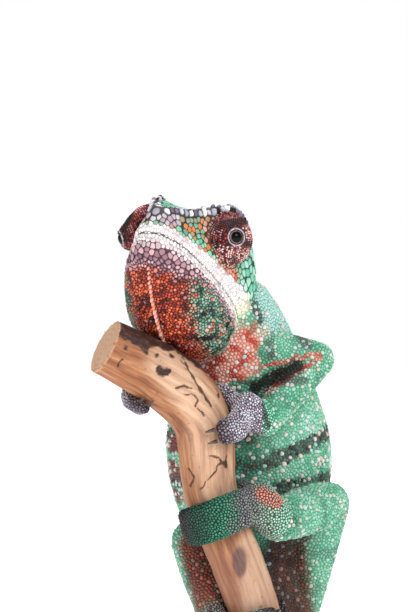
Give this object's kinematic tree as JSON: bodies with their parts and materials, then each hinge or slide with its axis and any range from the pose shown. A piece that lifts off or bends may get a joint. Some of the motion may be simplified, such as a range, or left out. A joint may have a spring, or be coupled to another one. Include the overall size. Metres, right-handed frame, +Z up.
{
  "type": "panther chameleon model on perch",
  "caption": "Life-size still model of a panther chameleon gripping a bent length of bare branch, with its tail coiled, held up by a rod on a flat display base",
  "frame": {"origin": "middle of the underside of the display base", "axes": "+Z up, along the rod; the animal's head faces -Y and turns slightly to -X; +X is the viewer's right"},
  "size_m": [0.15, 0.132, 0.2338],
  "materials": {
    "body_skin": "satin granular scales, green with dark bars and pale spots",
    "head_skin": "satin plates and granules, orange-red, green and white",
    "turret_skin": "satin granules, dark red and black with pale dots",
    "foot_skin": "satin granules, grey-violet and dark green",
    "claw_horn": "dull horn",
    "eye_surface": "wet gloss",
    "branch_wood": "dry, without bark, brown streaks and beetle galleries",
    "stand_wood": "dark stained, satin lacquer",
    "stand_metal": "brushed"
  },
  "bodies": {
    "root": {"neck": "body_skin", "trunk_front": "body_skin", "trunk_rear": "body_skin", "tail_1": "body_skin", "tail_2": "body_skin", "tail_3": "body_skin", "tail_4": "body_skin", "tail_5": "body_skin", "upper_arm_left": "body_skin", "upper_arm_right": "body_skin", "forearm_left": "body_skin", "forearm_right": "body_skin", "thigh_left": "body_skin", "thigh_right": "body_skin", "shank_left": "body_skin", "shank_right": "body_skin", "head": "head_skin", "lower_jaw": "head_skin", "eye_turret_left": "turret_skin", "eyeball_left": "eye_surface", "eye_turret_right": "turret_skin", "eyeball_right": "eye_surface", "hand_left": "foot_skin", "toes_hand_left_outer": "foot_skin", "claw_hand_left_outer_1": "claw_horn", "claw_hand_left_outer_2": "claw_horn", "toes_hand_left_inner": "foot_skin", "claw_hand_left_inner_1": "claw_horn", "claw_hand_left_inner_2": "claw_horn", "claw_hand_left_inner_3": "claw_horn", "hand_right": "foot_skin", "toes_hand_right_outer": "foot_skin", "claw_hand_right_outer_1": "claw_horn", "claw_hand_right_outer_2": "claw_horn", "toes_hand_right_inner": "foot_skin", "claw_hand_right_inner_1": "claw_horn", "claw_hand_right_inner_2": "claw_horn", "claw_hand_right_inner_3": "claw_horn", "foot_left": "foot_skin", "toes_foot_left_outer": "foot_skin", "claw_foot_left_outer_1": "claw_horn", "claw_foot_left_outer_2": "claw_horn", "claw_foot_left_outer_3": "claw_horn", "toes_foot_left_inner": "foot_skin", "claw_foot_left_inner_1": "claw_horn", "claw_foot_left_inner_2": "claw_horn", "foot_right": "foot_skin", "toes_foot_right_outer": "foot_skin", "claw_foot_right_outer_1": "claw_horn", "claw_foot_right_outer_2": "claw_horn", "claw_foot_right_outer_3": "claw_horn", "toes_foot_right_inner": "foot_skin", "claw_foot_right_inner_1": "claw_horn", "claw_foot_right_inner_2": "claw_horn", "perch_branch": "branch_wood", "stand_base": "stand_wood", "stand_collar": "stand_metal", "stand_rod": "stand_metal"}
  },
  "joints": []
}
